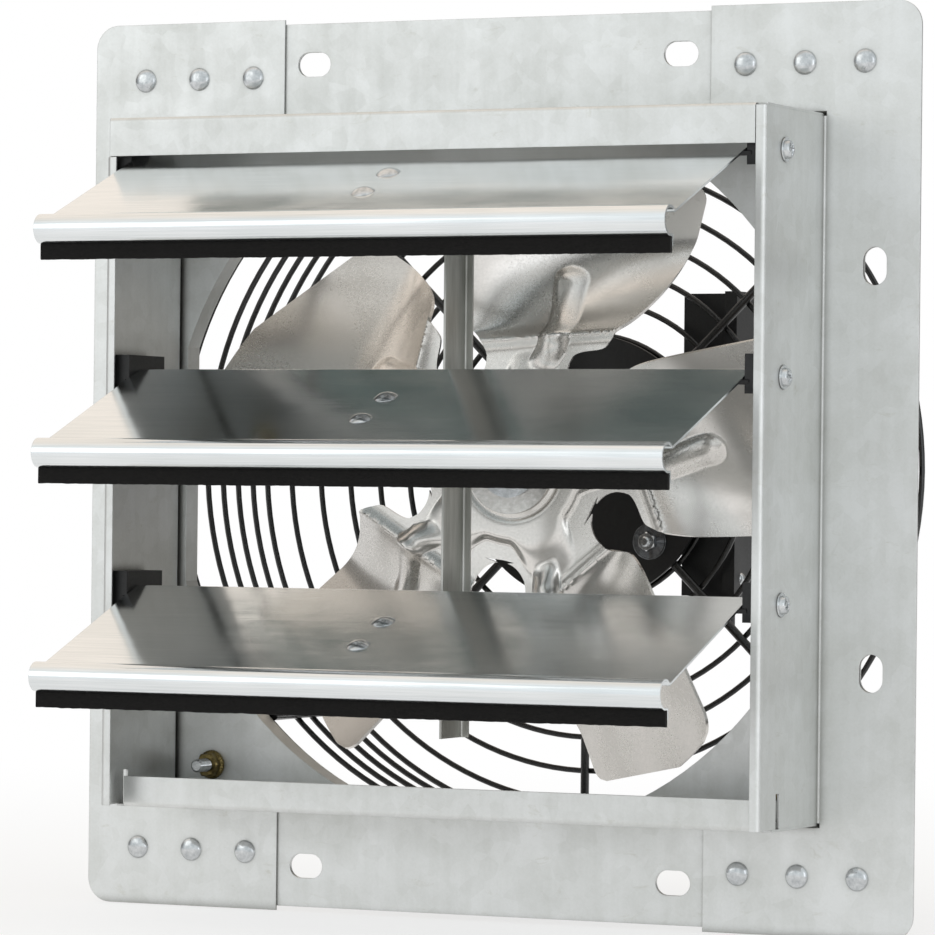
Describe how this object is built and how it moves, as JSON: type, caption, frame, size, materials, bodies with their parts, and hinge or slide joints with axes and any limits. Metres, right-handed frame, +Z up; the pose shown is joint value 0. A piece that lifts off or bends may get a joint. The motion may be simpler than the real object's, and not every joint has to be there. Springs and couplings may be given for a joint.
{
  "type": "shutter exhaust fan",
  "caption": "Wall exhaust fan: a square flanged sheet-metal box with coupled swinging louvres in front, and a multi-blade fan with its motor in a round wire guard behind.",
  "frame": {"origin": "centre of the flange's rear face, which meets the wall, on the fan's axis", "axes": "+X to the right seen from the louvred front, +Y along the fan's axis into the wall, +Z up"},
  "size_m": [0.402, 0.3119, 0.402],
  "materials": {
    "galvanised_sheet": "satin galvanised sheet",
    "rivet_steel": "satin zinc",
    "louvre_aluminium": "bright mill finish",
    "felt": "black felt",
    "bracket_plastic": "matt black",
    "link_steel": "satin zinc",
    "fan_aluminium": "satin",
    "shaft_steel": "ground steel",
    "core_steel": "laminated steel",
    "copper_winding": "enamelled copper wire",
    "guard_black": "gloss black",
    "motor_black": "satin black",
    "screw_zinc": "bright zinc",
    "yellow_zinc": "yellow zinc",
    "washer_chrome": "bright",
    "box_plastic": "matt black",
    "terminal_plastic": "cream",
    "capacitor_case": "satin",
    "lead_rubber": "black"
  },
  "bodies": {
    "housing": {"left_side_panel": "galvanised_sheet", "right_side_panel": "galvanised_sheet", "top_panel": "galvanised_sheet", "bottom_panel": "galvanised_sheet", "orifice_panel": "galvanised_sheet", "flange_rivets": "rivet_steel", "pivot_screws": "screw_zinc", "pivot_washers": "screw_zinc", "guard_mounting_ring": "guard_black", "guard_side_rings": "guard_black", "guard_rear_rings": "guard_black", "guard_spokes": "guard_black", "guard_feet": "guard_black", "guard_studs": "yellow_zinc", "guard_nuts": "yellow_zinc", "motor_plate": "motor_black", "motor_bolts": "screw_zinc", "motor_nuts": "screw_zinc", "motor_washers": "washer_chrome", "motor_front_cap": "motor_black", "motor_shell": "motor_black", "motor_rear_cap": "motor_black", "stator_core": "core_steel", "stator_windings": "copper_winding", "front_bearing": "shaft_steel", "rear_bearing": "shaft_steel", "junction_box": "box_plastic", "junction_box_cover": "box_plastic", "cover_screws": "screw_zinc", "junction_box_saddle": "motor_black", "terminal_block": "terminal_plastic", "run_capacitor": "capacitor_case", "motor_leads": "lead_rubber", "cable_gland": "box_plastic"},
    "louvre_top": {"top_louvre": "louvre_aluminium", "top_felt_strip": "felt", "top_end_brackets": "bracket_plastic", "top_link_bracket": "link_steel", "top_link_rivets": "rivet_steel"},
    "louvre_middle": {"middle_louvre": "louvre_aluminium", "middle_felt_strip": "felt", "middle_end_brackets": "bracket_plastic", "middle_link_bracket": "link_steel", "middle_link_rivets": "rivet_steel"},
    "louvre_bottom": {"bottom_louvre": "louvre_aluminium", "bottom_felt_strip": "felt", "bottom_end_brackets": "bracket_plastic", "bottom_link_bracket": "link_steel", "bottom_link_rivets": "rivet_steel"},
    "tie_bar": {"tie_bar": "link_steel", "tie_pins": "screw_zinc"},
    "rotor": {"fan_blades": "fan_aluminium", "fan_hub": "shaft_steel", "hub_washer": "screw_zinc", "hub_nut": "screw_zinc", "motor_shaft": "shaft_steel", "rotor_core": "core_steel"}
  },
  "joints": [
    {"name": "top_louvre_hinge", "type": "hinge", "parent": "housing", "child": "louvre_top", "pos_m": [0, -0.0485, 0.1345], "axis": [1, 0, 0], "range_deg": [0, 59]},
    {"name": "middle_louvre_hinge", "type": "hinge", "parent": "housing", "child": "louvre_middle", "pos_m": [0, -0.0485, 0.0385], "axis": [1, 0, 0], "range_deg": [0, 59]},
    {"name": "bottom_louvre_hinge", "type": "hinge", "parent": "housing", "child": "louvre_bottom", "pos_m": [0, -0.0485, -0.0575], "axis": [1, 0, 0], "range_deg": [0, 59]},
    {"name": "tie_bar_pin", "type": "hinge", "parent": "louvre_top", "child": "tie_bar", "pos_m": [-0.0042, -0.037, 0.1145], "axis": [1, 0, 0], "range_deg": [-59, 0]},
    {"name": "fan_spin", "type": "hinge", "parent": "housing", "child": "rotor", "pos_m": [0, 0, 0], "axis": [0, 1, 0], "continuous": true}
  ],
  "couplings": [
    {"joint": "middle_louvre_hinge", "follows": "top_louvre_hinge", "ratio": 1},
    {"joint": "bottom_louvre_hinge", "follows": "top_louvre_hinge", "ratio": 1},
    {"joint": "tie_bar_pin", "follows": "top_louvre_hinge", "ratio": -1}
  ]
}
